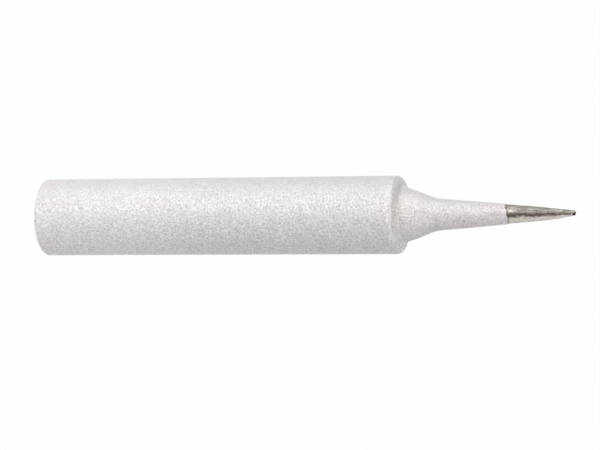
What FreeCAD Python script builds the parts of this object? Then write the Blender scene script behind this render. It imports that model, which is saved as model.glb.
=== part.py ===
"""Soldering iron tip: one piece of copper, turned, plated and tinned.

It is hollow behind, where it slides over the heater, and drawn down to a fine round point in front.
It stands on its open rear rim: +Z is the axis, towards the point, and the origin is the centre of
the rim. Lengths are in millimetres and angles in degrees.
"""

import FreeCAD, Part
import math
import os

# Heater socket: a blind hole drilled from the rear
SOCKET_DIAMETER = 6.0
SOCKET_DRILL_ANGLE = 118.0
SOCKET_MOUTH_CHAMFER = 0.25

# Barrel: the sleeve round the socket, and the solid stretch in front of it
BARREL_WALL = 1.0
BARREL_LENGTH = 38.75
SOLID_FRONT = 2.95
REAR_EDGE_ROUND = 0.22

# Shoulder: a steep cone from the rounded front edge of the barrel in to the root of the neck, which
# a fillet blends into it
SHOULDER_STEP = 1.14
SHOULDER_RISE = 0.45
SHOULDER_EDGE_ROUND = 0.5
SHOULDER_ROOT_FILLET = 0.6

# Neck: a short crest, a flare down to the waist, then a slender cone
CREST_LENGTH = 1.6
CREST_DROP = 0.5
CREST_ROUND = 6.4
FLARE_LENGTH = 1.7
FLARE_DROP = 0.69
WAIST_FILLET = 3.4
CONE_LENGTH = 7.65
CONE_DROP = 0.63

# Point: the plating ends in a small step, and the tinned end goes on as a crowned cone
PLATING_STEP = 0.05
POINT_LENGTH = 6.95
POINT_END_ANGLE = 8.0
NOSE_RADIUS = 0.3

# A rounding takes at most this share of its side, which leaves room for the one at the other end
ROUNDING_SHARE = 0.5

FULL_TURN = 360.0
AXIS_START = FreeCAD.Vector(0, 0, 0)
AXIS_DIRECTION = FreeCAD.Vector(0, 0, 1)

# Sizes that follow from the ones above
socket_radius = SOCKET_DIAMETER / 2
socket_depth = BARREL_LENGTH - SOLID_FRONT
barrel_radius = socket_radius + BARREL_WALL
rim_width = BARREL_WALL - SOCKET_MOUTH_CHAMFER
root_radius = barrel_radius - SHOULDER_STEP
root_height = BARREL_LENGTH + SHOULDER_RISE
crest_radius = root_radius - CREST_DROP
crest_height = root_height + CREST_LENGTH
waist_radius = crest_radius - FLARE_DROP
waist_height = crest_height + FLARE_LENGTH
plating_end_radius = waist_radius - CONE_DROP
plating_end_height = waist_height + CONE_LENGTH
point_root_radius = plating_end_radius - PLATING_STEP
tip_length = plating_end_height + POINT_LENGTH


def spot(radius, height):
    """The point of the half section at that radius and height."""
    return FreeCAD.Vector(radius, 0, height)


def line(start, end):
    """A straight edge."""
    return Part.LineSegment(start, end).toShape()


def rounding(before, corner, after, radius):
    """Start, middle and end of the arc that rounds a corner, tangent to both of its sides."""
    back = before - corner
    onward = after - corner
    half_angle = back.getAngle(onward) / 2
    room = ROUNDING_SHARE * min(back.Length, onward.Length)
    reach = min(radius / math.tan(half_angle), room)
    fitted_radius = reach * math.tan(half_angle)

    back.normalize()
    onward.normalize()
    inward = (back + onward).normalize()
    middle = corner + inward * (fitted_radius / math.sin(half_angle) - fitted_radius)
    return corner + back * reach, middle, corner + onward * reach


def outline(corners):
    """Edges along corners given as (point, radius of its rounding), where 0 is a sharp corner."""
    edges = []
    drawn_to = corners[0][0]
    for index in range(1, len(corners)):
        corner, radius = corners[index]
        if radius == 0:
            edges.append(line(drawn_to, corner))
            drawn_to = corner
            continue
        before = corners[index - 1][0]
        after = corners[index + 1][0]
        start, middle, end = rounding(before, corner, after, radius)
        edges.append(line(drawn_to, start))
        edges.append(Part.Arc(start, middle, end).toShape())
        drawn_to = end
    return edges


def turned(edges):
    """The solid swept about the axis by edges that start and end on it."""
    closing = line(edges[-1].lastVertex().Point, edges[0].firstVertex().Point)
    section = Part.Face(Part.Wire(edges + [closing]))
    return section.revolve(AXIS_START, AXIS_DIRECTION, FULL_TURN)


def nose_spot(angle):
    """The point of the round nose where its surface normal rises by that angle from square."""
    centre_height = tip_length - NOSE_RADIUS
    return spot(NOSE_RADIUS * math.cos(angle), centre_height + NOSE_RADIUS * math.sin(angle))


def crowned_point(root):
    """Edges of the tinned end: a slightly bulging cone from its root, then the round nose."""
    end_angle = math.radians(POINT_END_ANGLE)
    nose_start = nose_spot(end_angle)

    # The crown is the arc from the root that runs into the nose along its tangent
    chord = nose_start - root
    chord_angle = math.atan2(-chord.x, chord.z)
    crown_rise = chord.Length / 2 * math.tan((end_angle - chord_angle) / 2)
    outward = spot(math.cos(chord_angle), math.sin(chord_angle))
    crown_middle = (root + nose_start) / 2 + outward * crown_rise
    nose_middle = nose_spot((end_angle + math.pi / 2) / 2)
    return [
        Part.Arc(root, crown_middle, nose_start).toShape(),
        Part.Arc(nose_start, nose_middle, spot(0, tip_length)).toShape(),
    ]


def turned_blank():
    """The tip before its socket is drilled: barrel, shoulder, neck and point."""
    rear_round = min(REAR_EDGE_ROUND, ROUNDING_SHARE * rim_width)
    point_root = spot(point_root_radius, plating_end_height)
    plated = outline(
        [
            (spot(0, 0), 0),
            (spot(barrel_radius, 0), rear_round),
            (spot(barrel_radius, BARREL_LENGTH), SHOULDER_EDGE_ROUND),
            (spot(root_radius, root_height), SHOULDER_ROOT_FILLET),
            (spot(crest_radius, crest_height), CREST_ROUND),
            (spot(waist_radius, waist_height), WAIST_FILLET),
            (spot(plating_end_radius, plating_end_height), 0),
            (point_root, 0),
        ]
    )
    return turned(plated + crowned_point(point_root))


def heater_socket():
    """What the drill and the chamfering tool take out of the rear."""
    drill_point = socket_radius / math.tan(math.radians(SOCKET_DRILL_ANGLE / 2))
    return turned(
        outline(
            [
                (spot(0, 0), 0),
                (spot(socket_radius + SOCKET_MOUTH_CHAMFER, 0), 0),
                (spot(socket_radius, SOCKET_MOUTH_CHAMFER), 0),
                (spot(socket_radius, socket_depth), 0),
                (spot(0, socket_depth + drill_point), 0),
            ]
        )
    )


def soldering_tip():
    """The whole tip, as one solid."""
    return turned_blank().cut(heater_socket()).Solids[0]


def main():
    """Builds the tip, writes its STEP file and prints its main measures."""
    tip = soldering_tip()
    os.makedirs("parts", exist_ok=True)
    tip.exportStep("parts/soldering_tip.step")
    box = tip.optimalBoundingBox()
    print("valid", tip.isValid(), "faces", len(tip.Faces), "volume mm3", round(tip.Volume, 2))
    print("size mm", round(box.XLength, 3), round(box.YLength, 3), round(box.ZLength, 3))
    print("centre of mass height mm", round(tip.CenterOfMass.z, 2))


main()
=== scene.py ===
"""Looks of a slip-over soldering iron tip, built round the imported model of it.

The tip is one turned piece of copper: a hollow barrel with a steep, rounded shoulder, a flared neck and
a tinned point. Here its whole skin is one closed surface, a half section carried round the axis, with
the relief of its finishes in the mesh and their grain in the materials. Everything is in metres, in
the frame of the model: it stands on its open rear rim, with +Z along its axis towards the point, and
the camera's side is -Y.
"""

import logging
import math
from dataclasses import dataclass, field
from enum import Enum
from functools import cached_property, partial, reduce

import bpy
import numpy as np
from mathutils import Matrix, Vector

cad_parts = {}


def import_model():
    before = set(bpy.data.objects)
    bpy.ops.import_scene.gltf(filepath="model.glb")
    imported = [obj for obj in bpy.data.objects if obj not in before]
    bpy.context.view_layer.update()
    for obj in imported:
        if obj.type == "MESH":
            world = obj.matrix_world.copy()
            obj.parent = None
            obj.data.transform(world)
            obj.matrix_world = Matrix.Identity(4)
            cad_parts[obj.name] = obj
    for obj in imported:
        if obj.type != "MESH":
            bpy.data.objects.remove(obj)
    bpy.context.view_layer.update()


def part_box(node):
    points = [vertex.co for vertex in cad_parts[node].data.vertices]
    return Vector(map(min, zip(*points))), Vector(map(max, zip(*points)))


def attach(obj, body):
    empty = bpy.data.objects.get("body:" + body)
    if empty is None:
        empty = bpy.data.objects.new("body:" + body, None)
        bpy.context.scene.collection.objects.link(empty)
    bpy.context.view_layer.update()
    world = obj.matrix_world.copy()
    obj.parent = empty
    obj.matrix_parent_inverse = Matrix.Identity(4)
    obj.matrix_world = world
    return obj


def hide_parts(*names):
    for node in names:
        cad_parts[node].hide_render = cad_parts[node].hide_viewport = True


LOG = logging.getLogger("soldering_tip")
MM = 0.001
MICRON = 0.000001
DEGREE = math.radians(1)
NODE = "soldering_tip"
BODY = "root"
PAST_EDGE = "past_edge"
Colour = tuple[float, float, float]
Place = tuple[float, float, float]
Socket = bpy.types.NodeSocket
Array = np.ndarray

# Sockets of a mix node: its share and both colours, and its result
MIX_INPUTS = (0, 6, 7)
MIX_OUTPUT = 2


class Zone(Enum):
    """The finishes on the tip's skin, numbered as the mesh's material slots."""

    PLATED = 0
    TINNED = 1
    DRILLED = 2


@dataclass(frozen=True)
class Corner:
    """A corner of the half section.

    Args:
        radius: Its distance from the axis.
        height: Its place along the axis.
        rounding: The radius of the arc that rounds it, or 0 where it is sharp.
        spacing: The distance between rings on the run that leads to it.
    """

    radius: float
    height: float
    rounding: float = 0.0
    spacing: float = 0.2 * MM

    @property
    def place(self) -> Array:
        """The corner as (radius, height)."""
        return np.array([self.radius, self.height])


def unit(vectors: Array) -> Array:
    """Vectors, on the last axis, brought to a length of 1."""
    return vectors / np.linalg.norm(vectors, axis=-1, keepdims=True)


def circle(angles: Array) -> Array:
    """Points of the circle with a radius of 1, one row for each angle."""
    return np.stack([np.cos(angles), np.sin(angles)], axis=1)


def arc_at(before: Array, corner: Corner, after: Array, pieces: int) -> Array:
    """Samples the arc that rounds a corner and is tangent to both of its sides.

    The arc's ends lie radius / tan(half the corner's angle) from the corner, and its centre lies
    radius / sin(half the angle) from it, on the bisector. The points turn about the centre evenly.

    Args:
        before: The corner before it, as (radius, height).
        corner: The corner, with its rounding.
        after: The corner after it.
        pieces: How many straight pieces the arc is cut into.

    Returns:
        The points from the arc's start to its end, one row of (radius, height) each.
    """
    back, onward = unit(before - corner.place), unit(after - corner.place)
    half = math.acos(float(back @ onward)) / 2
    centre = corner.place + unit(back + onward) * corner.rounding / math.sin(half)
    spokes = [corner.place + side * corner.rounding / math.tan(half) - centre for side in (back, onward)]
    first, last = (math.atan2(spoke[1], spoke[0]) for spoke in spokes)
    turn = (last - first + math.pi) % (2 * math.pi) - math.pi
    angles = first + turn * np.linspace(0, 1, pieces + 1)
    return centre + corner.rounding * circle(angles)


def trace(corners: list[Corner], arc_pieces: int = 8) -> Array:
    """Samples an outline: straight runs between corners, and an arc round each rounded corner.

    Args:
        corners: The corners in order. The first and last are sharp.
        arc_pieces: How many straight pieces each arc is cut into.

    Returns:
        The rings of the outline, one row of (radius, height) each, with no ring twice.
    """
    rings = [corners[0].place[None, :]]
    for index, corner in enumerate(corners[1:], start=1):
        if corner.rounding:
            bend = arc_at(corners[index - 1].place, corner, corners[index + 1].place, arc_pieces)
        else:
            bend = corner.place[None, :]
        start = rings[-1][-1]
        pieces = max(1, math.ceil(np.linalg.norm(bend[0] - start) / corner.spacing))
        shares = np.linspace(0, 1, pieces + 1)[1:-1, None]
        rings += [start + (bend[0] - start) * shares, bend]
    return np.concatenate(rings)


@dataclass(frozen=True)
class Relief:
    """A random relief: the sum of plane waves through space, in random directions.

    Args:
        shortest: The shortest wave.
        longest: The longest wave.
        height: The relief's root mean square height.
        seed: The seed of its random draws.
        drawn_out: How many times longer the waves are along the axis than across it.
        waves: How many waves are added up.
    """

    shortest: float
    longest: float
    height: float
    seed: int
    drawn_out: float = 1.0
    waves: int = 48

    def at(self, points: Array) -> Array:
        """Heights of the relief at points in space.

        Each wave is the cosine of 2 pi times the distance along its direction over its length, plus
        its phase. The sum is scaled by the square root of 2 over the number of waves.

        Args:
            points: The points, with x, y and z on the last axis.

        Returns:
            The heights, one for each point.
        """
        draw = np.random.default_rng(self.seed)
        directions = unit(draw.normal(size=(self.waves, 3)))
        lengths = np.exp(draw.uniform(math.log(self.shortest), math.log(self.longest), self.waves))
        phases = draw.uniform(0, 2 * math.pi, self.waves)
        vectors = directions * (2 * math.pi / lengths)[:, None]
        vectors[:, 2] /= self.drawn_out
        total = np.zeros(points.shape[:-1])
        for vector, phase in zip(vectors, phases):
            total += np.cos(points @ vector + phase)
        return total * self.height * math.sqrt(2 / self.waves)


@dataclass(frozen=True)
class HeaterSocket:
    """The blind hole that the heater slides into, drilled from the rear."""

    radius: float
    depth: float = 35.8 * MM
    drill_angle: float = 118 * DEGREE
    mouth_chamfer: float = 0.25 * MM
    edge_break: float = 0.04 * MM
    fine_spacing: float = 0.08 * MM
    wall_spacing: float = 2.4 * MM
    bottom_spacing: float = 0.4 * MM

    @property
    def bottom(self) -> float:
        """The height of the point of the drilled bottom."""
        return self.depth + self.radius / math.tan(self.drill_angle / 2)

    def corners(self) -> list[Corner]:
        """The wall from the mouth's chamfer to the point of the drilled bottom."""
        return [
            Corner(self.radius + self.mouth_chamfer, 0, self.edge_break, self.fine_spacing),
            Corner(self.radius, self.mouth_chamfer, self.edge_break, self.fine_spacing),
            Corner(self.radius, self.depth, self.edge_break, self.wall_spacing),
            Corner(0, self.bottom, spacing=self.bottom_spacing),
        ]


@dataclass(frozen=True)
class Barrel:
    """The sleeve round the socket, with its rounded rear edge, and the steep cone of its shoulder."""

    radius: float
    length: float
    rear_round: float = 0.22 * MM
    shoulder_rise: float = 0.45 * MM
    shoulder_round: float = 0.5 * MM
    face_spacing: float = 0.06 * MM
    side_spacing: float = 0.4 * MM

    def corners(self) -> list[Corner]:
        """The outside from the shoulder's edge to the rear edge."""
        return [
            Corner(self.radius, self.length, self.shoulder_round, self.face_spacing),
            Corner(self.radius, 0, self.rear_round, self.side_spacing),
        ]


@dataclass(frozen=True)
class Neck:
    """The turned neck: a small fillet at the shoulder, a crest, a flare and a slender cone."""

    root_radius: float
    foot: float
    root_fillet: float = 0.6 * MM
    crest_length: float = 1.6 * MM
    crest_drop: float = 0.5 * MM
    crest_round: float = 6.4 * MM
    flare_length: float = 1.7 * MM
    flare_drop: float = 0.69 * MM
    waist_fillet: float = 3.4 * MM
    cone_length: float = 7.65 * MM
    cone_drop: float = 0.63 * MM
    lip_round: float = 0.02 * MM
    beaded_length: float = 1.4 * MM
    lip_spacing: float = 0.04 * MM
    side_spacing: float = 0.14 * MM

    @property
    def slope(self) -> float:
        """How much radius the slender cone loses for each unit of height."""
        return self.cone_drop / self.cone_length

    @property
    def end_radius(self) -> float:
        """The plated radius at the end of the slender cone."""
        return self.root_radius - self.crest_drop - self.flare_drop - self.cone_drop

    @property
    def end_height(self) -> float:
        """The height of the end of the slender cone."""
        return self.foot + self.crest_length + self.flare_length + self.cone_length

    def corners(self) -> list[Corner]:
        """Places the neck's outside.

        Returns:
            The corners from the plating's lip to the neck's root on the shoulder.
        """
        crest_radius = self.root_radius - self.crest_drop
        crest_height = self.foot + self.crest_length
        waist_radius = crest_radius - self.flare_drop
        waist_height = crest_height + self.flare_length
        beads_radius = self.end_radius + self.beaded_length * self.slope
        beads_height = self.end_height - self.beaded_length
        return [
            Corner(self.end_radius, self.end_height, self.lip_round, self.lip_round),
            Corner(beads_radius, beads_height, spacing=self.lip_spacing),
            Corner(waist_radius, waist_height, self.waist_fillet, self.side_spacing),
            Corner(crest_radius, crest_height, self.crest_round, self.side_spacing),
            Corner(self.root_radius, self.foot, self.root_fillet, self.side_spacing),
        ]


@dataclass(frozen=True)
class PlatingEdge:
    """The line where the plating stops. It was masked by hand, so it slants and wanders."""

    setback: float = -0.28 * MM
    slant_across: float = 0.14 * MM
    slant_away: float = 0.31 * MM
    jag: float = 0.04 * MM
    fade: float = 1.3 * MM
    seed: int = 11

    def stray(self, around: Array) -> Array:
        """How far the edge lies in front of the cone's nominal end.

        It is a setback, plus a slant as a cosine and a sine of the angle, plus a jagged line: the sum
        of 53 cosines with random phases, weaker the more turns they make.

        Args:
            around: The angles round the axis, from +X.

        Returns:
            The distances, one for each angle.
        """
        draw = np.random.default_rng(self.seed)
        turns = np.arange(7, 60)
        phases = draw.uniform(0, 2 * math.pi, turns.size)
        weights = turns**-0.4
        weights /= math.sqrt((weights**2).sum() / 2)
        jagged = np.cos(around[:, None] * turns + phases) @ weights
        slant = self.slant_across * np.cos(around) - self.slant_away * np.sin(around)
        return self.setback + slant + self.jag * jagged

    def share(self, heights: Array, nominal: float) -> Array:
        """How much of the stray a ring takes: all at the edge, and smoothly less on both sides."""
        near = np.clip(1 - np.abs(heights - nominal) / self.fade, 0, 1)
        return near * near * (3 - 2 * near)


@dataclass(frozen=True)
class TinnedPoint:
    """The bare, tinned end: a slightly crowned cone and a round nose, a little bent with use."""

    root_radius: float
    root_height: float
    length: float = 6.95 * MM
    end_angle: float = 8 * DEGREE
    nose_radius: float = 0.3 * MM
    nose_rings: int = 9
    spacing: float = 0.06 * MM
    bend: float = 0.07 * MM
    bent_length: float = 2.6 * MM

    @property
    def tip(self) -> float:
        """The height of the nose's pole."""
        return self.root_height + self.length

    def rings(self) -> Array:
        """Samples the point from the nose to the plating's edge.

        The nose is an arc from its pole down to the end angle. The crown is an arc too, whose slope
        turns evenly from the end angle to twice the chord's angle less the end angle.

        Returns:
            The rings, one row of (radius, height) each, without the nose's own pole.
        """
        nose_angles = np.linspace(math.pi / 2, self.end_angle, self.nose_rings + 1)[1:]
        nose = circle(nose_angles) * self.nose_radius
        nose += [0, self.tip - self.nose_radius]
        root = np.array([self.root_radius, self.root_height])
        chord = nose[-1] - root
        chord_length = float(np.linalg.norm(chord))
        chord_angle = math.atan2(-chord[0], chord[1])
        half_turn = self.end_angle - chord_angle
        crown_radius = chord_length / 2 / math.sin(half_turn)
        slopes = np.linspace(self.end_angle, chord_angle - half_turn, round(chord_length / self.spacing))
        turned = circle(slopes)
        crown = root + crown_radius * (turned - turned[-1])
        return np.concatenate([nose, crown[1:]])

    def bent(self, points: Array) -> Array:
        """Bends points towards -X by the square of how far they lie into the bent length.

        Args:
            points: The points, with x, y and z on the last axis.

        Returns:
            The moved points.
        """
        into = np.clip((points[..., 2] - self.tip) / self.bent_length + 1, 0, 1)
        moved = points.copy()
        moved[..., 0] -= self.bend * into**2
        return moved


@dataclass
class SolderingTip:
    """The whole tip: the half section of its parts, carried round the axis into one closed skin."""

    length: float
    radius: float
    wall: float = 1.0 * MM
    shoulder_step: float = 1.14 * MM
    plating_step: float = 0.05 * MM
    columns: int = 232
    calm: float = 0.25 * MM
    deepest: float = 2.4
    skin_relief: Relief = Relief(0.9 * MM, 3.0 * MM, 2.0 * MICRON, seed=3)
    bead_relief: Relief = Relief(0.16 * MM, 0.5 * MM, 6.0 * MICRON, seed=7)
    solder_relief: Relief = Relief(0.3 * MM, 1.1 * MM, 7.0 * MICRON, seed=5, drawn_out=2.4)
    edge: PlatingEdge = PlatingEdge()
    socket: HeaterSocket = field(init=False)
    barrel: Barrel = field(init=False)
    neck: Neck = field(init=False)
    point: TinnedPoint = field(init=False)

    def __post_init__(self) -> None:
        """Makes the parts, each placed where the one in front of it ends."""
        neck_length = Neck.crest_length + Neck.flare_length + Neck.cone_length
        foot = self.length - TinnedPoint.length - neck_length
        self.socket = HeaterSocket(self.radius - self.wall)
        self.barrel = Barrel(self.radius, foot - Barrel.shoulder_rise)
        self.neck = Neck(self.radius - self.shoulder_step, foot)
        self.point = TinnedPoint(self.neck.end_radius - self.plating_step, self.neck.end_height)

    def section(self) -> tuple[Array, Array]:
        """The half section, from the nose over the outside to the bottom of the socket.

        Returns:
            The rings as rows of (radius, height), and the number of the zone of each ring.
        """
        tinned = self.point.rings()
        plated = self.neck.corners() + self.barrel.corners() + self.socket.corners()
        rings = np.concatenate([tinned, trace([Corner(*tinned[-1]), *plated])[1:-1]])
        order = np.arange(len(rings))
        bore_radius = self.socket.radius + self.socket.edge_break
        bored = (order > rings[:, 0].argmax()) & (rings[:, 0] < bore_radius)
        zones = np.full(len(rings), Zone.PLATED.value)
        zones[: len(tinned)] = Zone.TINNED.value
        zones[bored] = Zone.DRILLED.value
        return rings, zones

    def relief(self, points: Array, rings: Array, zones: Array) -> Array:
        """How far the skin lies below its nominal form: a ripple, solder waves, and beads at the lip.

        Each finish's relief is lowered by a few times its height, so that no peak stands proud. It
        fades out at the rim that the tip stands on, at the nose, and in the socket it is nothing.

        Args:
            points: The points of the nominal form.
            rings: The rings as rows of (radius, height).
            zones: The number of the zone of each ring.

        Returns:
            The offsets along the outward normal, none above zero.
        """
        near_edge = self.edge.share(rings[:, 1], self.neck.end_height)[:, None]
        plated = self.skin_relief.at(points) + near_edge * self.bead_relief.at(points)
        plated -= self.deepest * (self.skin_relief.height + near_edge * self.bead_relief.height)
        tinned = self.solder_relief.at(points) - self.deepest * self.solder_relief.height
        offset = np.where((zones == Zone.TINNED.value)[:, None], tinned, plated)
        from_rim = np.clip(rings[:, 1] / self.calm, 0, 1)
        from_tip = np.clip((self.length - rings[:, 1]) / self.calm, 0, 1)
        share = from_rim * from_tip * (zones != Zone.DRILLED.value)
        return np.minimum(offset, 0) * share[:, None]

    def skin(self) -> tuple[Array, Array, Array]:
        """Carries the half section round the axis.

        A point is its ring's place at its angle, moved along the slender cone by the stray of the
        plating's edge, then along the outward normal by the relief, then by the bend of the point.

        Returns:
            The points as an array of rings by columns by 3, the zone of each ring, and how far each
            point lies past the plating's edge.
        """
        rings, zones = self.section()
        tangents = unit(np.gradient(rings, axis=0))
        normals = np.stack([-tangents[:, 1], tangents[:, 0]], axis=1)
        around = np.arange(self.columns) * (2 * math.pi / self.columns)
        outward = circle(around)

        share = self.edge.share(rings[:, 1], self.neck.end_height) * (zones != Zone.DRILLED.value)
        slide = share[:, None] * self.edge.stray(around)
        radii = rings[:, :1] - self.neck.slope * slide
        heights = rings[:, 1:] + slide
        points = np.concatenate([radii[..., None] * outward, heights[..., None]], axis=2)

        offset = self.relief(points, rings, zones)
        points[..., :2] += (normals[:, :1] * offset)[..., None] * outward
        points[..., 2] += normals[:, 1:] * offset
        past_edge = heights - self.neck.end_height - self.edge.stray(around)
        return self.point.bent(points), zones, past_edge

    def build(self) -> bpy.types.Object:
        """Makes the skin's mesh and dresses it.

        Returns:
            The finished piece, which stands for the model's node.
        """
        points, zones, past_edge = self.skin()
        poles = self.point.bent(np.array([[0, 0, self.length], [0, 0, self.socket.bottom]]))
        piece = closed_skin("turned_tip", points, poles, zones)
        distances = np.concatenate([past_edge.ravel(), poles[:, 2] - self.neck.end_height])
        layer = piece.data.attributes.new(PAST_EDGE, "FLOAT", "POINT")
        layer.data.foreach_set("value", distances.astype(np.float32))
        finishes = (
            MattPlating(self.barrel.length, self.neck.foot, self.neck.end_height),
            DullTin(self.neck.end_height, self.length),
            DrilledWall(),
        )
        for finish in finishes:
            piece.data.materials.append(finish.material())
        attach(piece, BODY)
        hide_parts(NODE)
        return piece


def closed_skin(name: str, points: Array, poles: Array, zones: Array) -> bpy.types.Object:
    """Makes a mesh from rings of points, closed round the axis and by a pole at each end.

    A face joins corners (ring, column), (ring + 1, column), (ring + 1, column + 1) and
    (ring, column + 1), columns counted round, which turns it outwards. Fans join the poles.

    Args:
        name: The name of the piece.
        points: The points, rings by columns by 3.
        poles: The first and the last point, both on the axis.
        zones: The material slot of each ring, which its faces take from the ring behind them.

    Returns:
        The new object, linked to the scene.
    """
    rings, columns, _ = points.shape
    index = np.arange(rings * columns).reshape(rings, columns)
    beside = np.roll(index, -1, axis=1)
    quads = np.stack([index[:-1], index[1:], beside[1:], beside[:-1]], axis=2).reshape(-1, 4)
    first, last = rings * columns, rings * columns + 1
    front = np.stack([np.full(columns, first), index[0], beside[0]], axis=1)
    back = np.stack([index[-1], np.full(columns, last), beside[-1]], axis=1)

    mesh = bpy.data.meshes.new(name)
    mesh.from_pydata(
        np.concatenate([points.reshape(-1, 3), poles]).tolist(),
        [],
        quads.tolist() + front.tolist() + back.tolist(),
    )
    slots = np.concatenate([np.repeat(zones[1:], columns), np.repeat(zones[[0, -1]], columns)])
    mesh.polygons.foreach_set("material_index", slots.astype(np.int32))
    mesh.polygons.foreach_set("use_smooth", np.ones(len(mesh.polygons), bool))
    unroll(mesh, points, poles)
    mesh.update()
    piece = bpy.data.objects.new(name, mesh)
    bpy.context.scene.collection.objects.link(piece)
    return piece


def unroll(mesh: bpy.types.Mesh, points: Array, poles: Array, margin: float = 0.01) -> None:
    """Gives the skin a map that unrolls it: the angle across, and the distance along it upwards.

    Args:
        mesh: The mesh, with the quads of each ring first, then the front and the back fan.
        points: Its points, rings by columns by 3.
        poles: Its first and last point.
        margin: The bare strip round the map.
    """
    rings, columns, _ = points.shape
    chain = np.concatenate([poles[:1], points[:, 0], poles[1:]])
    along = np.concatenate([[0], np.cumsum(np.linalg.norm(np.diff(chain, axis=0), axis=1))])
    along = margin + (1 - 2 * margin) * along / along[-1]
    left = margin + (1 - 2 * margin) * np.arange(columns) / columns
    right = left + (1 - 2 * margin) / columns
    middle = (left + right) / 2

    def pairs(across: Array, up: Array | float) -> Array:
        """Map places for all the faces between two rings."""
        return np.stack(np.broadcast_arrays(across, up), axis=-1)

    upper, lower = along[1:-2, None], along[2:-1, None]
    sides = [pairs(left, upper), pairs(left, lower), pairs(right, lower), pairs(right, upper)]
    quads = np.stack(sides, axis=2)
    front = np.stack([pairs(middle, along[0]), pairs(left, along[1]), pairs(right, along[1])], axis=1)
    back = np.stack([pairs(left, along[-2]), pairs(middle, along[-1]), pairs(right, along[-2])], axis=1)
    places = np.concatenate([part.reshape(-1, 2) for part in (quads, front, back)])
    mesh.uv_layers.new(name="OFBake").data.foreach_set("uv", places.ravel().astype(np.float32))


@dataclass(frozen=True)
class Band:
    """A stretch round a middle. What it sets goes smoothly from outside, at the reach, to inside."""

    middle: float
    reach: float
    outside: float = 0.0
    inside: float = 1.0


@dataclass(frozen=True)
class Ramp:
    """A stretch of places, bearings or noise. What it sets goes evenly from before to after it."""

    start: float
    end: float
    before: float = 0.0
    after: float = 1.0


class Nodes:
    """Builds a node tree, one node at a time."""

    def __init__(self, tree: bpy.types.NodeTree) -> None:
        """Takes the tree to build in."""
        self.tree = tree

    def node(self, kind: str, inputs: dict | None = None, **settings: object) -> bpy.types.Node:
        """Adds a node.

        Args:
            kind: The node's type.
            inputs: Input names or numbers, with a value or the socket that feeds each.
            settings: The node's own settings.

        Returns:
            The new node.
        """
        made = self.tree.nodes.new(kind)
        for key, value in settings.items():
            setattr(made, key, value)
        for key, value in (inputs or {}).items():
            self.feed(made.inputs[key], value)
        return made

    def feed(self, socket: Socket, value: object) -> None:
        """Links an output to a socket, or sets the socket's value.

        Args:
            socket: The socket.
            value: An output, a number, or a tuple, which is filled up with 1 where it is short.
        """
        if isinstance(value, Socket):
            self.tree.links.new(value, socket)
        elif isinstance(value, tuple) and len(value) < len(socket.default_value):
            socket.default_value = (*value, 1)
        else:
            socket.default_value = value

    def math(self, operation: str, first: object, second: object = 0.0) -> Socket:
        """The result of a sum on two values or sockets."""
        return self.node("ShaderNodeMath", {0: first, 1: second}, operation=operation).outputs[0]


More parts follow.
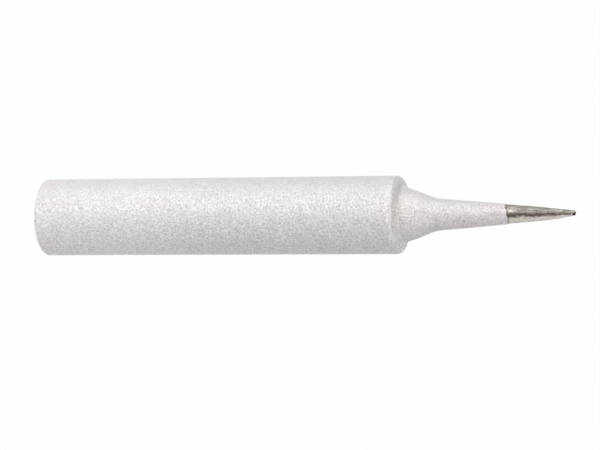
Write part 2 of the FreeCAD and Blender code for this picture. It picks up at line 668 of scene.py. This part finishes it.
class Graph(Nodes):
    """Builds the node tree of a finish."""

    def __init__(self, name: str) -> None:
        """Makes the material with its shader.

        Args:
            name: The material's name.
        """
        self.owner = bpy.data.materials.new(name)
        self.owner.use_nodes = True
        super().__init__(self.owner.node_tree)
        self.shader = self.tree.nodes["Principled BSDF"]
        self.place = self.node("ShaderNodeTexCoord").outputs["Object"]

    @cached_property
    def axes(self) -> dict[str, Socket]:
        """The place on the piece, as X, Y and Z."""
        return self.node("ShaderNodeSeparateXYZ", {"Vector": self.place}).outputs

    @cached_property
    def bearing(self) -> Socket:
        """The angle round the axis from the camera's side, positive towards +X."""
        return self.math("ARCTAN2", self.axes["X"], self.product(self.axes["Y"], -1))

    def product(self, first: object, second: object) -> Socket:
        """The product of two values or sockets."""
        return self.math("MULTIPLY", first, second)

    def total(self, *terms: object) -> Socket:
        """The sum of several values or sockets."""
        return reduce(partial(self.math, "ADD"), terms)

    def span(self, value: object, low: float, high: float, start: float, end: float) -> Socket:
        """Maps a value from one span to another, and holds it there."""
        inputs = {"Value": value, "From Min": low, "From Max": high, "To Min": start, "To Max": end}
        return self.node("ShaderNodeMapRange", inputs).outputs["Result"]

    def ramp(self, value: object, ramp: Ramp, origin: float = 0.0) -> Socket:
        """What a ramp sets, its start and end counted from the origin."""
        return self.span(value, origin + ramp.start, origin + ramp.end, ramp.before, ramp.after)

    def away(self, value: object, middle: float) -> Socket:
        """How far a value lies from a middle, on either side."""
        return self.math("ABSOLUTE", self.math("SUBTRACT", value, middle))

    def band(self, value: object, band: Band, origin: float = 0.0, reach: object = None) -> Socket:
        """What a band sets.

        Args:
            value: The value that lies in the band or outside it.
            band: The band.
            origin: Where the band's middle is counted from.
            reach: The reach, where it isn't the band's own.

        Returns:
            The value that it sets.
        """
        inputs = {
            "Value": self.away(value, origin + band.middle),
            "From Max": band.reach if reach is None else reach,
            "To Min": band.inside,
            "To Max": band.outside,
        }
        return self.node("ShaderNodeMapRange", inputs, interpolation_type="SMOOTHSTEP").outputs["Result"]

    def noise(self, size: float, detail: float = 2.0, stretch: float = 1.0) -> Socket:
        """Makes soft noise.

        Args:
            size: About the size of its features.
            detail: How many finer layers it has.
            stretch: How many times longer it is along the axis.

        Returns:
            The noise, mostly between 0.25 and 0.75.
        """
        scale = (1 / size, 1 / size, 1 / size / stretch)
        place = self.node("ShaderNodeMapping", {"Vector": self.place, "Scale": scale}).outputs[0]
        inputs = {"Vector": place, "Scale": 1, "Detail": detail}
        return self.node("ShaderNodeTexNoise", inputs).outputs["Fac"]

    def specks(self, size: float, odds: float, spread: float, channel: str) -> Socket:
        """Makes round specks in cells that are picked by chance.

        Args:
            size: The size of the cells.
            odds: The share of cells that holds a speck.
            spread: A speck's radius, as a share of the size.
            channel: The channel of the cell's random colour that picks it.

        Returns:
            1 in the specks, and 0 outside them.
        """
        cells = self.node("ShaderNodeTexVoronoi", {"Vector": self.place, "Scale": 1 / size})
        parts = self.node("ShaderNodeSeparateColor", {"Color": cells.outputs["Color"]})
        picked = self.math("GREATER_THAN", parts.outputs[channel], 1 - odds)
        return self.product(picked, self.span(cells.outputs["Distance"], spread / 2, spread, 1, 0))

    def spot(self, centre: Place, reach: float, origin: float, solid: float = 0.75) -> Socket:
        """Makes a round spot.

        Args:
            centre: Its centre, whose height is counted from the origin.
            reach: Its radius.
            origin: The height of the origin.
            solid: The share of its radius in which it is whole.

        Returns:
            1 in the spot, and 0 outside it.
        """
        inputs = {0: self.place, 1: (centre[0], centre[1], origin + centre[2])}
        away = self.node("ShaderNodeVectorMath", inputs, operation="DISTANCE").outputs["Value"]
        return self.span(away, reach * solid, reach, 1, 0)

    def blend(self, share: object, first: object, second: object) -> Socket:
        """The colour between two others, by the share of the second."""
        inputs = dict(zip(MIX_INPUTS, (share, first, second)))
        return self.node("ShaderNodeMix", inputs, data_type="RGBA").outputs[MIX_OUTPUT]

    def scaled(self, colour: object, factor: object) -> Socket:
        """A colour times a factor."""
        inputs = {0: colour, "Scale": factor}
        return self.node("ShaderNodeVectorMath", inputs, operation="SCALE").outputs[0]

    def relief(self, height: object, distance: float) -> Socket:
        """The normal, bent as a relief of that height would bend it."""
        inputs = {"Height": height, "Distance": distance, "Strength": 1}
        return self.node("ShaderNodeBump", inputs).outputs["Normal"]

    def dress(self, **sockets: object) -> bpy.types.Material:
        """Feeds the shader's sockets.

        Args:
            sockets: What feeds each, by its name with underscores for spaces.

        Returns:
            The finished material.
        """
        for name, value in sockets.items():
            self.feed(self.shader.inputs[name.replace("_", " ")], value)
        return self.owner


@dataclass(frozen=True)
class MattPlating:
    """The plating: pale, matt and slightly lilac, with a grit-blasted grain.

    Its grain is pitted and carries painted glints, apart from one side where grain, pits and glints are
    faded as painted light. A painted sheen lies along the barrel and a painted highlight on the shoulder's
    rim, the sides of its face carry painted shade, and the neck's root painted shade with a brown tint of
    grime. The neck is warmer, brown in its pits, with painted light on its flanks and painted shade
    beside its waist, and flushed pink where it ends.

    Args:
        rim: The height of the shoulder's rim.
        root: The height of the neck's root.
        edge: The height of the plating's edge.
    """

    rim: float
    root: float
    edge: float
    colour: Colour = (0.785, 0.765, 0.780)
    warm: Colour = (0.716, 0.696, 0.693)
    flushed: Colour = (0.752, 0.690, 0.714)
    # Brown colour of the painted shade and grime in the corner at the neck's root
    shade_and_grime: Colour = (0.46, 0.39, 0.295)
    # Colour of the painted glints, near white: painted highlights on the grain
    painted_glint: Colour = (0.990, 0.970, 0.955)
    pitted: Colour = (0.42, 0.38, 0.36)
    brown: Colour = (0.36, 0.28, 0.22)
    metallic: float = 0.4
    grain_size: float = 0.20 * MM
    grain_depth: float = 70 * MICRON
    painted_glint_size: float = 0.24 * MM
    pit_size: float = 0.30 * MM
    pit_depth: float = 0.3
    pit_share: float = 0.5
    blotch_size: float = 0.34 * MM
    cloud_size: float = 1.6 * MM

    # Over the values of noises and shares
    grain: Ramp = Ramp(0.25, 0.75, -0.26, 0.26)
    blotches: Ramp = Ramp(0.35, 0.6, 0.2, 1)
    clouds: Ramp = Ramp(0.3, 0.7, 0.975, 1.025)
    roughness: Ramp = Ramp(0, 1, 0.55, 0.35)
    painted_glint_share: Ramp = Ramp(0, 1, 0.75, 0.5)

    # Round the axis
    # On this side grain, pits and glints are faded as painted light, for how the light falls on the grain
    faded_grain_side: Band = Band(-85 * DEGREE, 80 * DEGREE, 1, 0.26)
    # Side where the corner's painted shade and grime are darkest, towards the camera
    shaded_and_grimy_side: Band = Band(-5 * DEGREE, 80 * DEGREE, 0.06, 0.32)
    # Side of the painted shade beside the waist
    painted_waist_shade_side: Band = Band(75 * DEGREE, 45 * DEGREE)
    # Painted shade on the sides of the shoulder's face, away from this middle bearing
    face_shade_middle: float = 8 * DEGREE
    face_shade_sides: Ramp = Ramp(30 * DEGREE, 75 * DEGREE, 0, -0.36)
    flank_middle: float = -20 * DEGREE
    flanks: Ramp = Ramp(15 * DEGREE, 65 * DEGREE)

    # Along it, from the rear, the rim, the root or the edge
    # Painted sheen: the barrel is paler round this height
    painted_sheen: Band = Band(10 * MM, 10 * MM, 0, 0.04)
    # Painted highlight on the shoulder's rounded rim
    painted_rim_highlight: Band = Band(0.07 * MM, 0.11 * MM, 0, 0.08)
    face_start: Ramp = Ramp(-0.3 * MM, 0.35 * MM)
    face_end: Ramp = Ramp(0.35 * MM, 0.5 * MM, 1, 0)
    # Heights of the painted shade and grime in the corner at the neck's root
    shaded_and_grimy: Band = Band(0.27 * MM, 0.62 * MM)
    # Painted shade beside the neck's waist
    painted_waist_shade: Band = Band(3.6 * MM, 1.6 * MM, 0, -0.10)
    neck_start: float = 0.2 * MM
    flushing: Ramp = Ramp(-2.4 * MM, -0.9 * MM)
    # How much painted light makes the neck's flanks paler, from the rim to the edge
    painted_flank_tones: tuple[float, float] = (0.11, 0.17)
    # Painted light gradient: paler at the rear, darker at the shoulder
    painted_light_gains: tuple[float, float] = (1.05, 0.95)

    def material(self) -> bpy.types.Material:
        """Makes the finish.

        Returns:
            Its material.
        """
        graph = Graph("matt_plating")
        on_neck = graph.span(graph.axes["Z"], self.rim, self.root + self.neck_start, 0, 1)
        # Grain, pits and glints are faded on one side, as painted light
        coarse = graph.band(graph.bearing, self.faded_grain_side)
        grain = graph.noise(self.grain_size, detail=1)
        # Painted glints: near-white specks as painted highlights, which are also less rough
        painted_glints = graph.product(graph.specks(self.painted_glint_size, odds=0.16, spread=0.40, channel="Red"), coarse)
        pits = graph.product(graph.specks(self.pit_size, odds=0.10, spread=0.32, channel="Green"), coarse)

        tone = self.tone(graph, graph.product(graph.ramp(grain, self.grain), coarse))
        ground = graph.scaled(self.hue(graph, on_neck), tone)
        pit_colour = graph.blend(on_neck, self.pitted, self.brown)
        ground = graph.blend(graph.product(pits, self.pit_share), ground, pit_colour)
        painted_glint_share = graph.product(painted_glints, graph.ramp(on_neck, self.painted_glint_share))
        relief = graph.total(grain, graph.product(pits, -self.pit_depth))
        return graph.dress(
            Base_Color=graph.blend(painted_glint_share, ground, self.painted_glint),
            Metallic=self.metallic,
            Roughness=graph.ramp(painted_glints, self.roughness),
            Normal=graph.relief(relief, self.grain_depth),
        )

    def hue(self, graph: Graph, on_neck: Socket) -> Socket:
        """Lays out the hues: lilac, painted shade and grime at the neck's root, then warm and flushed.

        Args:
            graph: The material's graph.
            on_neck: 0 on the barrel and 1 on the neck.

        Returns:
            The colour.
        """
        height = graph.axes["Z"]
        plain = graph.blend(on_neck, self.colour, self.warm)
        # Painted shade with a brown grime tint in the corner where the neck begins
        shade_and_grime_side = graph.band(graph.bearing, self.shaded_and_grimy_side)
        shaded_and_grimy = graph.product(graph.band(height, self.shaded_and_grimy, self.root), shade_and_grime_side)
        blotches = graph.ramp(graph.noise(self.blotch_size, detail=1), self.blotches)
        flushed = graph.product(graph.ramp(height, self.flushing, self.edge), blotches)
        return graph.blend(flushed, graph.blend(shaded_and_grimy, plain, self.shade_and_grime), self.flushed)

    def tone(self, graph: Graph, grain: Socket) -> Socket:
        """Lays out how pale the plating is.

        Clouds and grain are added up with painted light and shade: a sheen on the barrel, a highlight on
        the rim, shade on the sides of the face and beside the waist, and paler flanks on the neck. The sum
        is scaled by a gain that changes evenly from the rear to the shoulder, a painted light gradient.

        Args:
            graph: The material's graph.
            grain: What the grain adds.

        Returns:
            The factor on the colour.
        """
        height, bearing = graph.axes["Z"], graph.bearing
        clouds = graph.ramp(graph.noise(self.cloud_size, detail=2), self.clouds)
        # Painted sheen along the barrel
        painted_sheen = graph.band(height, self.painted_sheen)
        # Painted highlight on the shoulder's rim
        painted_rim_highlight = graph.band(height, self.painted_rim_highlight, self.rim)
        face_start = graph.ramp(height, self.face_start, self.rim)
        on_face = graph.math("MINIMUM", face_start, graph.ramp(height, self.face_end, self.rim))
        sides = graph.ramp(graph.away(bearing, self.face_shade_middle), self.face_shade_sides)
        # Painted shade on the sides of the shoulder's face
        painted_face_shade = graph.product(sides, on_face)
        # Painted shade beside the waist, on the +X side
        at_waist = graph.band(height, self.painted_waist_shade, self.root)
        painted_waist_shade = graph.product(graph.band(bearing, self.painted_waist_shade_side), at_waist)
        on_neck = graph.span(height, self.rim, self.root, 0, 1)
        # Painted light: the neck's flanks made paler
        flanks = graph.product(graph.ramp(graph.away(bearing, self.flank_middle), self.flanks), on_neck)
        painted_flank_light = graph.product(flanks, graph.span(height, self.rim, self.edge, *self.painted_flank_tones))
        # Clouds and grain, with the painted sheen, highlight, shade and flank light
        marks_and_painted_light = graph.total(clouds, grain, painted_sheen, painted_rim_highlight, painted_face_shade, painted_waist_shade, painted_flank_light)
        return graph.product(marks_and_painted_light, graph.span(height, 0, self.rim, *self.painted_light_gains))


@dataclass(frozen=True)
class DullTin:
    """The tin on the point: grey solder in long waves, a painted dark reflection and a pale one.

    A charred bead sits on the nose, with a clean fleck beside it.

    Args:
        root: The height of the plating's edge, where the tin begins.
        tip: The height of the nose.
    """

    root: float
    tip: float
    grey: Colour = (0.40, 0.385, 0.35)
    olive: Colour = (0.27, 0.255, 0.215)
    pale: Colour = (0.61, 0.585, 0.52)
    pink: Colour = (0.69, 0.625, 0.59)
    # Colour of the painted dark reflection, a dark brown
    dark_reflection_colour: Colour = (0.075, 0.058, 0.042)
    black: Colour = (0.012, 0.010, 0.010)
    metallic: float = 0.9
    relief_depth: float = 14 * MICRON
    streak_size: float = 0.16 * MM
    mottle_size: float = 0.13 * MM
    patch_size: float = 0.26 * MM
    waver_size: float = 0.45 * MM

    # Over the values of noises
    roughness: Ramp = Ramp(0.3, 0.7, 0.32, 0.5)
    mottled: Ramp = Ramp(0.25, 0.75, -1, 1)
    waver: Ramp = Ramp(0.25, 0.75, -0.22, 0.22)
    waves: Ramp = Ramp(0.35, 0.65)
    lines: Ramp = Ramp(0.4, 0.55, 0.25, 1)
    patches: Ramp = Ramp(0.35, 0.6, 0.72, 0.97)

    # Round the axis
    # Pale band on the +X side: a painted reflection of the white floor
    painted_pale_reflection: Band = Band(47 * DEGREE, 40 * DEGREE)
    # The mottle is calmer in that painted reflection
    unrest: Band = Band(47 * DEGREE, 40 * DEGREE, 0.55, 0.28)
    # Painted dim reflection: the colour darkened where the lamps would shine back
    painted_dim_reflection: Band = Band(-19 * DEGREE, 45 * DEGREE, 1, 0.52)
    shaded: Band = Band(-85 * DEGREE, 28 * DEGREE, 1, 0.52)
    lit: Band = Band(-24 * DEGREE, 15 * DEGREE)
    # Painted dark reflection: a narrow dark streak facing the camera
    painted_dark_reflection: Band = Band(3 * DEGREE, 20 * DEGREE)

    # Along it, from the root, and the seam from the slanting edge
    drift: Ramp = Ramp(0.8 * MM, 3.8 * MM, -2 * DEGREE, 1 * DEGREE)
    pinking: Ramp = Ramp(0.8 * MM, 3.2 * MM)
    dimming: Ramp = Ramp(0.5 * MM, 1.1 * MM, 1, 0)
    # How wide the painted dark reflection grows along the point
    painted_dark_reflection_reach: Ramp = Ramp(2.0 * MM, 3.6 * MM, 20 * DEGREE, 29 * DEGREE)
    seam: Ramp = Ramp(0.03 * MM, 0.2 * MM, 0.3, 1)

    # From the nose
    char_place: Place = (0.11 * MM, -0.16 * MM, -0.11 * MM)
    char_reach: float = 0.2 * MM
    fleck_place: Place = (0.03 * MM, -0.29 * MM, -0.38 * MM)
    fleck_reach: float = 0.07 * MM

    def material(self) -> bpy.types.Material:
        """Makes the finish.

        Returns:
            Its material.
        """
        graph = Graph("dull_tin")
        waver = graph.ramp(graph.noise(self.waver_size, detail=3, stretch=1.6), self.waver)
        angle = graph.total(graph.bearing, waver, graph.ramp(graph.axes["Z"], self.drift, self.root))
        streaks = graph.noise(self.streak_size, detail=3, stretch=6)
        mottle = graph.noise(self.mottle_size, detail=3, stretch=1.3)
        # Mottle, calmer in the painted pale reflection
        mottled = graph.product(graph.ramp(mottle, self.mottled), graph.band(angle, self.unrest))
        past_edge = graph.node("ShaderNodeAttribute", attribute_name=PAST_EDGE).outputs["Fac"]
        tone = graph.product(graph.math("ADD", mottled, 1), graph.ramp(past_edge, self.seam))
        return graph.dress(
            Base_Color=graph.scaled(self.hue(graph, angle, streaks), tone),
            Metallic=self.metallic,
            Roughness=graph.ramp(mottle, self.roughness),
            Normal=graph.relief(graph.total(mottle, streaks), self.relief_depth),
        )

    def hue(self, graph: Graph, angle: Socket, streaks: Socket) -> Socket:
        """Lays the tin's streaks over each other, from the widest to the narrowest.

        Args:
            graph: The material's graph.
            angle: The wavering bearing by which they are laid.
            streaks: Long, fine noise.

        Returns:
            The colour.
        """
        height = graph.axes["Z"]
        dull = graph.blend(graph.ramp(streaks, self.waves), self.olive, self.grey)
        # The painted pale reflection, pinker away from the root
        painted_pale_reflection = graph.blend(graph.ramp(height, self.pinking, self.root), self.pale, self.pink)
        hue = graph.blend(graph.band(angle, self.painted_pale_reflection), dull, painted_pale_reflection)
        shaded = graph.band(angle, self.shaded)
        # Painted dim reflection, with painted shade at the top edge
        hue = graph.scaled(hue, graph.math("MINIMUM", graph.band(angle, self.painted_dim_reflection), shaded))
        lit = graph.product(graph.band(angle, self.lit), graph.ramp(height, self.dimming, self.root))
        hue = graph.blend(graph.product(lit, graph.ramp(streaks, self.lines)), hue, self.pale)
        # The painted dark reflection, patchy and widening along the point
        reach = graph.ramp(height, self.painted_dark_reflection_reach, self.root)
        painted_dark_reflection = graph.band(angle, self.painted_dark_reflection, reach=reach)
        patchy = graph.ramp(graph.noise(self.patch_size, detail=2), self.patches)
        hue = graph.blend(graph.product(painted_dark_reflection, patchy), hue, self.dark_reflection_colour)
        hue = graph.blend(graph.spot(self.fleck_place, self.fleck_reach, self.tip), hue, self.pale)
        return graph.blend(graph.spot(self.char_place, self.char_reach, self.tip), hue, self.black)


@dataclass(frozen=True)
class DrilledWall:
    """The socket's wall: thinly plated copper with the rings that the drill left."""

    colour: Colour = (0.56, 0.50, 0.46)
    stain: Colour = (0.36, 0.30, 0.27)
    metallic: float = 0.8
    roughness: Ramp = Ramp(0, 1, 0.37, 0.53)
    feed: float = 0.22 * MM
    ring_depth: float = 6 * MICRON
    waver_size: float = 3 * MM
    waver: float = 9.0
    stain_size: float = 2.2 * MM
    stains: Ramp = Ramp(0.4, 0.65)

    def material(self) -> bpy.types.Material:
        """Makes the finish. Its rings are a sine along the axis, whose phase wavers.

        Returns:
            Its material.
        """
        graph = Graph("drilled_wall")
        turns = graph.product(graph.axes["Z"], 2 * math.pi / self.feed)
        waver = graph.product(graph.noise(self.waver_size), self.waver)
        rings = graph.span(graph.math("SINE", graph.math("ADD", turns, waver)), -1, 1, 0, 1)
        stains = graph.ramp(graph.noise(self.stain_size, detail=4), self.stains)
        return graph.dress(
            Base_Color=graph.blend(stains, self.colour, self.stain),
            Metallic=self.metallic,
            Roughness=graph.ramp(rings, self.roughness),
            Normal=graph.relief(rings, self.ring_depth),
        )


@dataclass(frozen=True)
class Softbox:
    """A flat lamp that faces the middle of the tip and shows only in what it lights.

    Args:
        name: Its name.
        bearing: Its angle round the tip, from the camera's side towards +X.
        rise: Its angle above the horizon.
        brightness: How bright its face is, where white is 1.
        tint: Its colour.
        distance: How far it stands off.
        width: Its width.
        height: Its height.
    """

    name: str
    bearing: float
    rise: float
    brightness: float
    tint: Colour = (1.0, 1.0, 1.0)
    distance: float = 0.5
    width: float = 0.2
    height: float = 0.3

    def build(self, centre: Vector) -> bpy.types.Object:
        """Makes the lamp. Its power is its brightness times pi times its area.

        Args:
            centre: The middle of the tip.

        Returns:
            The lamp.
        """
        lamp = bpy.data.lights.new(self.name, "AREA")
        lamp.shape = "RECTANGLE"
        lamp.size, lamp.size_y = self.width, self.height
        lamp.energy = self.brightness * math.pi * self.width * self.height
        lamp.color = self.tint
        level = math.cos(self.rise)
        aside, front = math.sin(self.bearing) * level, -math.cos(self.bearing) * level
        away = Vector((aside, front, math.sin(self.rise)))
        box = bpy.data.objects.new(self.name, lamp)
        turned = (-away).to_track_quat("-Z", "Y").to_matrix().to_4x4()
        box.matrix_world = Matrix.Translation(centre + away * self.distance) @ turned
        box.visible_camera = False
        bpy.context.scene.collection.objects.link(box)
        return box


@dataclass(frozen=True)
class Studio:
    """A white sweep under soft lamps: the floor, the world round it and the lamps."""

    floor_side: float = 8.0
    glow: float = 0.985
    paper: Colour = (0.9, 0.9, 0.9)
    ambient: float = 0.16
    boxes: tuple[Softbox, ...] = (
        Softbox("key", -28 * DEGREE, 3 * DEGREE, 6.3, (1.0, 0.965, 0.97)),
        Softbox("side_key", -68 * DEGREE, 3 * DEGREE, 4.95, (0.985, 0.99, 1.0)),
        Softbox("low_fill", 38 * DEGREE, 35 * DEGREE, 1.6, (1.0, 0.94, 0.955)),
        Softbox("overhead", 0.0, 80 * DEGREE, 0.65, distance=0.6, width=0.5, height=0.5),
        Softbox("back_fill", 180 * DEGREE, 20 * DEGREE, 1.0, width=0.4, height=0.4),
    )

    def build(self, centre: Vector) -> None:
        """Makes the floor, the world and the lamps, and sets how colours show.

        Args:
            centre: The middle of the tip, which the lamps face.
        """
        bpy.context.scene.view_settings.view_transform = "Standard"
        for box in self.boxes:
            box.build(centre)
        self.build_floor()
        self.build_world()

    def build_floor(self) -> None:
        """Lays the floor, a square at height zero whose paper glows white to the eye and in gloss."""
        half = self.floor_side / 2
        mesh = bpy.data.meshes.new("sweep_floor")
        corners = [(-half, -half, 0), (half, -half, 0), (half, half, 0), (-half, half, 0)]
        mesh.from_pydata(corners, [], [(0, 1, 2, 3)])
        floor = bpy.data.objects.new("sweep_floor", mesh)
        bpy.context.scene.collection.objects.link(floor)
        mesh.materials.append(self.paper_material())

    def paper_material(self) -> bpy.types.Material:
        """Makes white paper: lit paper for soft light, and mostly a plain glow where it is seen.

        Returns:
            The material.
        """
        material = bpy.data.materials.new("white_paper")
        material.use_nodes = True
        material.node_tree.nodes.clear()
        nodes = Nodes(material.node_tree)
        lit = nodes.node("ShaderNodeBsdfDiffuse", {"Color": self.paper})
        glowing = nodes.node("ShaderNodeEmission")
        share = nodes.math("MULTIPLY", self.seen_rays(nodes), self.glow)
        mixed = nodes.node("ShaderNodeMixShader", {0: share, 1: lit.outputs[0], 2: glowing.outputs[0]})
        nodes.node("ShaderNodeOutputMaterial", {"Surface": mixed.outputs[0]})
        return material

    def build_world(self) -> None:
        """Makes the world: white where it is seen and in gloss, and dimmer as soft light."""
        world = bpy.data.worlds.new("studio")
        bpy.context.scene.world = world
        world.use_nodes = True
        world.node_tree.nodes.clear()
        nodes = Nodes(world.node_tree)
        inputs = {"Value": self.seen_rays(nodes), "To Min": self.ambient, "To Max": 1}
        strength = nodes.node("ShaderNodeMapRange", inputs).outputs["Result"]
        background = nodes.node("ShaderNodeBackground", {"Color": (1, 1, 1), "Strength": strength})
        nodes.node("ShaderNodeOutputWorld", {"Surface": background.outputs[0]})

    def seen_rays(self, nodes: Nodes) -> Socket:
        """Tells the rays by which things are seen from the rays of soft light.

        Args:
            nodes: The tree in which the answer is used.

        Returns:
            1 for camera, glossy and transmission rays, and 0 for the others.
        """
        rays = nodes.node("ShaderNodeLightPath").outputs
        in_gloss = nodes.math("MAXIMUM", rays["Is Glossy Ray"], rays["Is Transmission Ray"])
        return nodes.math("MAXIMUM", rays["Is Camera Ray"], in_gloss)


@dataclass(frozen=True)
class PhotoCamera:
    """The photograph's camera, which looks down on the tip with the axis across the picture.

    Args:
        target: The point in the middle of the picture.
        distance: How far the camera stands from it.
        pitch: The camera's angle above the horizon.
        roll: How far the axis is turned from the picture's own rows.
        lens: The focal length, in millimetres on the usual sensor.
        sight: The nearest and the farthest that it sees.
    """

    target: Place = (0.967 * MM, 0, 27.976 * MM)
    distance: float = 339.86 * MM
    pitch: float = 18.4 * DEGREE
    roll: float = 0.364 * DEGREE
    lens: float = 198.28
    sight: tuple[float, float] = (0.01, 20.0)

    def build(self) -> bpy.types.Object:
        """Makes the camera and gives it to the scene.

        Returns:
            The camera.
        """
        back = Vector((0, -math.cos(self.pitch), math.sin(self.pitch)))
        along = Vector((0, math.sin(self.pitch), math.cos(self.pitch)))
        across = Vector((-1, 0, 0))
        right = along * math.cos(self.roll) - across * math.sin(self.roll)
        top = along * math.sin(self.roll) + across * math.cos(self.roll)
        camera = bpy.data.objects.new("photo_camera", bpy.data.cameras.new("photo_camera"))
        camera.data.lens = self.lens
        camera.data.clip_start, camera.data.clip_end = self.sight
        turned = Matrix((right, top, back)).transposed().to_4x4()
        camera.matrix_world = Matrix.Translation(Vector(self.target) + back * self.distance) @ turned
        bpy.context.scene.collection.objects.link(camera)
        bpy.context.scene.camera = camera
        return camera


def main() -> None:
    """Loads the model, then builds the camera, the tip and the studio, in that order."""
    logging.basicConfig(level=logging.INFO, format="%(name)s: %(message)s")
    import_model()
    lowest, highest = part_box(NODE)
    PhotoCamera().build()
    tip = SolderingTip(length=highest[2] - lowest[2], radius=(highest[0] - lowest[0]) / 2)
    piece = tip.build()
    LOG.info("%s: %d faces, %d points", piece.name, len(piece.data.polygons), len(piece.data.vertices))
    Studio().build((Vector(lowest) + Vector(highest)) / 2)


if __name__ == "__main__":
    main()
